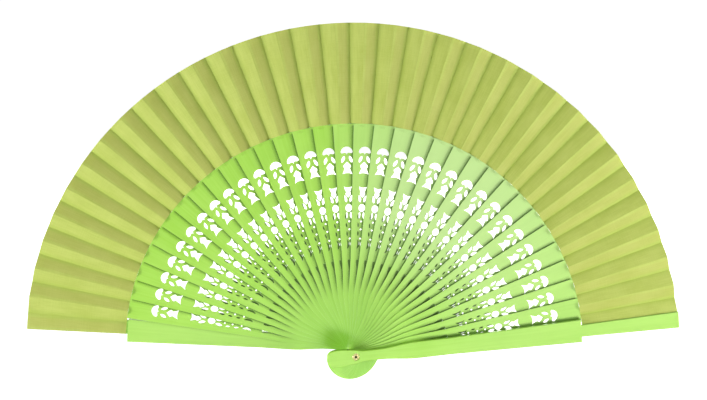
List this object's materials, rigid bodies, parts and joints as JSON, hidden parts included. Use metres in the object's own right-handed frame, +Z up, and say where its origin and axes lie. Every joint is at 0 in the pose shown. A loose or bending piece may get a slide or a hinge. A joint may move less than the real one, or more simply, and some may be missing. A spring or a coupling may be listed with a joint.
{
  "type": "folding hand fan",
  "caption": "Folding hand fan with pierced painted wooden sticks, plain guards, a pleated cloth leaf and a tubular rivet that the sticks turn on.",
  "frame": {"origin": "middle of the rivet's bore, halfway through the stack of sticks", "axes": "open fan upright: +Z up its middle, +Y along the rivet from the front face to the back, +X to the right as seen from the front"},
  "size_m": [0.4203, 0.0318, 0.229],
  "materials": {
    "guard_paint": "satin lime green paint on solid wood, edges eased",
    "stick_paint": "satin lime green paint on thin pierced wood, fine grain showing through",
    "leaf_cloth": "thin yellow-green plain-weave cotton, pressed pleats, slightly see-through",
    "brass": "polished brass"
  },
  "bodies": {
    "base": {"rear_guard": "guard_paint", "rivet": "brass", "rear_washer": "brass", "front_washer": "brass", "leaf": "leaf_cloth"},
    "stick_01": {"stick_01": "stick_paint"},
    "stick_02": {"stick_02": "stick_paint"},
    "stick_03": {"stick_03": "stick_paint"},
    "stick_04": {"stick_04": "stick_paint"},
    "stick_05": {"stick_05": "stick_paint"},
    "stick_06": {"stick_06": "stick_paint"},
    "stick_07": {"stick_07": "stick_paint"},
    "stick_08": {"stick_08": "stick_paint"},
    "stick_09": {"stick_09": "stick_paint"},
    "stick_10": {"stick_10": "stick_paint"},
    "stick_11": {"stick_11": "stick_paint"},
    "stick_12": {"stick_12": "stick_paint"},
    "stick_13": {"stick_13": "stick_paint"},
    "stick_14": {"stick_14": "stick_paint"},
    "stick_15": {"stick_15": "stick_paint"},
    "stick_16": {"stick_16": "stick_paint"},
    "stick_17": {"stick_17": "stick_paint"},
    "stick_18": {"stick_18": "stick_paint"},
    "stick_19": {"stick_19": "stick_paint"},
    "stick_20": {"stick_20": "stick_paint"},
    "stick_21": {"stick_21": "stick_paint"},
    "stick_22": {"stick_22": "stick_paint"},
    "stick_23": {"stick_23": "stick_paint"},
    "stick_24": {"stick_24": "stick_paint"},
    "stick_25": {"stick_25": "stick_paint"},
    "stick_26": {"stick_26": "stick_paint"},
    "stick_27": {"stick_27": "stick_paint"},
    "stick_28": {"stick_28": "stick_paint"},
    "stick_29": {"stick_29": "stick_paint"},
    "stick_30": {"stick_30": "stick_paint"},
    "stick_31": {"stick_31": "stick_paint"},
    "stick_32": {"stick_32": "stick_paint"},
    "front_guard": {"front_guard": "guard_paint"}
  },
  "joints": [
    {"name": "fan_fold", "type": "hinge", "parent": "base", "child": "front_guard", "pos_m": [0, 0, 0], "axis": [0, -1, 0], "range_deg": [0, 169.4], "deforming": ["leaf"]},
    {"name": "stick_01_turn", "type": "hinge", "parent": "base", "child": "stick_01", "pos_m": [0, 0, 0], "axis": [0, -1, 0], "range_deg": [-0.5, 6.9]},
    {"name": "stick_02_turn", "type": "hinge", "parent": "base", "child": "stick_02", "pos_m": [0, 0, 0], "axis": [0, -1, 0], "range_deg": [-0.5, 11.99]},
    {"name": "stick_03_turn", "type": "hinge", "parent": "base", "child": "stick_03", "pos_m": [0, 0, 0], "axis": [0, -1, 0], "range_deg": [-0.5, 17.09]},
    {"name": "stick_04_turn", "type": "hinge", "parent": "base", "child": "stick_04", "pos_m": [0, 0, 0], "axis": [0, -1, 0], "range_deg": [-0.5, 22.18]},
    {"name": "stick_05_turn", "type": "hinge", "parent": "base", "child": "stick_05", "pos_m": [0, 0, 0], "axis": [0, -1, 0], "range_deg": [-0.5, 27.27]},
    {"name": "stick_06_turn", "type": "hinge", "parent": "base", "child": "stick_06", "pos_m": [0, 0, 0], "axis": [0, -1, 0], "range_deg": [-0.5, 32.37]},
    {"name": "stick_07_turn", "type": "hinge", "parent": "base", "child": "stick_07", "pos_m": [0, 0, 0], "axis": [0, -1, 0], "range_deg": [-0.5, 37.46]},
    {"name": "stick_08_turn", "type": "hinge", "parent": "base", "child": "stick_08", "pos_m": [0, 0, 0], "axis": [0, -1, 0], "range_deg": [-0.5, 42.56]},
    {"name": "stick_09_turn", "type": "hinge", "parent": "base", "child": "stick_09", "pos_m": [0, 0, 0], "axis": [0, -1, 0], "range_deg": [-0.5, 47.65]},
    {"name": "stick_10_turn", "type": "hinge", "parent": "base", "child": "stick_10", "pos_m": [0, 0, 0], "axis": [0, -1, 0], "range_deg": [-0.5, 52.74]},
    {"name": "stick_11_turn", "type": "hinge", "parent": "base", "child": "stick_11", "pos_m": [0, 0, 0], "axis": [0, -1, 0], "range_deg": [-0.5, 57.84]},
    {"name": "stick_12_turn", "type": "hinge", "parent": "base", "child": "stick_12", "pos_m": [0, 0, 0], "axis": [0, -1, 0], "range_deg": [-0.5, 62.93]},
    {"name": "stick_13_turn", "type": "hinge", "parent": "base", "child": "stick_13", "pos_m": [0, 0, 0], "axis": [0, -1, 0], "range_deg": [-0.5, 68.03]},
    {"name": "stick_14_turn", "type": "hinge", "parent": "base", "child": "stick_14", "pos_m": [0, 0, 0], "axis": [0, -1, 0], "range_deg": [-0.5, 73.12]},
    {"name": "stick_15_turn", "type": "hinge", "parent": "base", "child": "stick_15", "pos_m": [0, 0, 0], "axis": [0, -1, 0], "range_deg": [-0.5, 78.21]},
    {"name": "stick_16_turn", "type": "hinge", "parent": "base", "child": "stick_16", "pos_m": [0, 0, 0], "axis": [0, -1, 0], "range_deg": [-0.5, 83.31]},
    {"name": "stick_17_turn", "type": "hinge", "parent": "base", "child": "stick_17", "pos_m": [0, 0, 0], "axis": [0, -1, 0], "range_deg": [-0.5, 88.4]},
    {"name": "stick_18_turn", "type": "hinge", "parent": "base", "child": "stick_18", "pos_m": [0, 0, 0], "axis": [0, -1, 0], "range_deg": [-0.5, 93.49]},
    {"name": "stick_19_turn", "type": "hinge", "parent": "base", "child": "stick_19", "pos_m": [0, 0, 0], "axis": [0, -1, 0], "range_deg": [-0.5, 98.59]},
    {"name": "stick_20_turn", "type": "hinge", "parent": "base", "child": "stick_20", "pos_m": [0, 0, 0], "axis": [0, -1, 0], "range_deg": [-0.5, 103.68]},
    {"name": "stick_21_turn", "type": "hinge", "parent": "base", "child": "stick_21", "pos_m": [0, 0, 0], "axis": [0, -1, 0], "range_deg": [-0.5, 108.78]},
    {"name": "stick_22_turn", "type": "hinge", "parent": "base", "child": "stick_22", "pos_m": [0, 0, 0], "axis": [0, -1, 0], "range_deg": [-0.5, 113.87]},
    {"name": "stick_23_turn", "type": "hinge", "parent": "base", "child": "stick_23", "pos_m": [0, 0, 0], "axis": [0, -1, 0], "range_deg": [-0.5, 118.96]},
    {"name": "stick_24_turn", "type": "hinge", "parent": "base", "child": "stick_24", "pos_m": [0, 0, 0], "axis": [0, -1, 0], "range_deg": [-0.5, 124.06]},
    {"name": "stick_25_turn", "type": "hinge", "parent": "base", "child": "stick_25", "pos_m": [0, 0, 0], "axis": [0, -1, 0], "range_deg": [-0.5, 129.15]},
    {"name": "stick_26_turn", "type": "hinge", "parent": "base", "child": "stick_26", "pos_m": [0, 0, 0], "axis": [0, -1, 0], "range_deg": [-0.5, 134.24]},
    {"name": "stick_27_turn", "type": "hinge", "parent": "base", "child": "stick_27", "pos_m": [0, 0, 0], "axis": [0, -1, 0], "range_deg": [-0.5, 139.34]},
    {"name": "stick_28_turn", "type": "hinge", "parent": "base", "child": "stick_28", "pos_m": [0, 0, 0], "axis": [0, -1, 0], "range_deg": [-0.5, 144.43]},
    {"name": "stick_29_turn", "type": "hinge", "parent": "base", "child": "stick_29", "pos_m": [0, 0, 0], "axis": [0, -1, 0], "range_deg": [-0.5, 149.53]},
    {"name": "stick_30_turn", "type": "hinge", "parent": "base", "child": "stick_30", "pos_m": [0, 0, 0], "axis": [0, -1, 0], "range_deg": [-0.5, 154.62]},
    {"name": "stick_31_turn", "type": "hinge", "parent": "base", "child": "stick_31", "pos_m": [0, 0, 0], "axis": [0, -1, 0], "range_deg": [-0.5, 159.71]},
    {"name": "stick_32_turn", "type": "hinge", "parent": "base", "child": "stick_32", "pos_m": [0, 0, 0], "axis": [0, -1, 0], "range_deg": [-0.5, 164.81]}
  ],
  "couplings": [
    {"joint": "stick_01_turn", "follows": "fan_fold", "ratio": 0.03778},
    {"joint": "stick_02_turn", "follows": "fan_fold", "ratio": 0.06785},
    {"joint": "stick_03_turn", "follows": "fan_fold", "ratio": 0.097919},
    {"joint": "stick_04_turn", "follows": "fan_fold", "ratio": 0.12799},
    {"joint": "stick_05_turn", "follows": "fan_fold", "ratio": 0.15806},
    {"joint": "stick_06_turn", "follows": "fan_fold", "ratio": 0.18813},
    {"joint": "stick_07_turn", "follows": "fan_fold", "ratio": 0.2182},
    {"joint": "stick_08_turn", "follows": "fan_fold", "ratio": 0.24827},
    {"joint": "stick_09_turn", "follows": "fan_fold", "ratio": 0.27834},
    {"joint": "stick_10_turn", "follows": "fan_fold", "ratio": 0.3084},
    {"joint": "stick_11_turn", "follows": "fan_fold", "ratio": 0.33847},
    {"joint": "stick_12_turn", "follows": "fan_fold", "ratio": 0.36854},
    {"joint": "stick_13_turn", "follows": "fan_fold", "ratio": 0.39861},
    {"joint": "stick_14_turn", "follows": "fan_fold", "ratio": 0.42868},
    {"joint": "stick_15_turn", "follows": "fan_fold", "ratio": 0.45875},
    {"joint": "stick_16_turn", "follows": "fan_fold", "ratio": 0.48882},
    {"joint": "stick_17_turn", "follows": "fan_fold", "ratio": 0.51889},
    {"joint": "stick_18_turn", "follows": "fan_fold", "ratio": 0.54896},
    {"joint": "stick_19_turn", "follows": "fan_fold", "ratio": 0.57903},
    {"joint": "stick_20_turn", "follows": "fan_fold", "ratio": 0.6091},
    {"joint": "stick_21_turn", "follows": "fan_fold", "ratio": 0.63917},
    {"joint": "stick_22_turn", "follows": "fan_fold", "ratio": 0.66924},
    {"joint": "stick_23_turn", "follows": "fan_fold", "ratio": 0.69931},
    {"joint": "stick_24_turn", "follows": "fan_fold", "ratio": 0.72938},
    {"joint": "stick_25_turn", "follows": "fan_fold", "ratio": 0.75945},
    {"joint": "stick_26_turn", "follows": "fan_fold", "ratio": 0.78951},
    {"joint": "stick_27_turn", "follows": "fan_fold", "ratio": 0.81958},
    {"joint": "stick_28_turn", "follows": "fan_fold", "ratio": 0.84965},
    {"joint": "stick_29_turn", "follows": "fan_fold", "ratio": 0.87972},
    {"joint": "stick_30_turn", "follows": "fan_fold", "ratio": 0.90979},
    {"joint": "stick_31_turn", "follows": "fan_fold", "ratio": 0.93986},
    {"joint": "stick_32_turn", "follows": "fan_fold", "ratio": 0.96993}
  ]
}
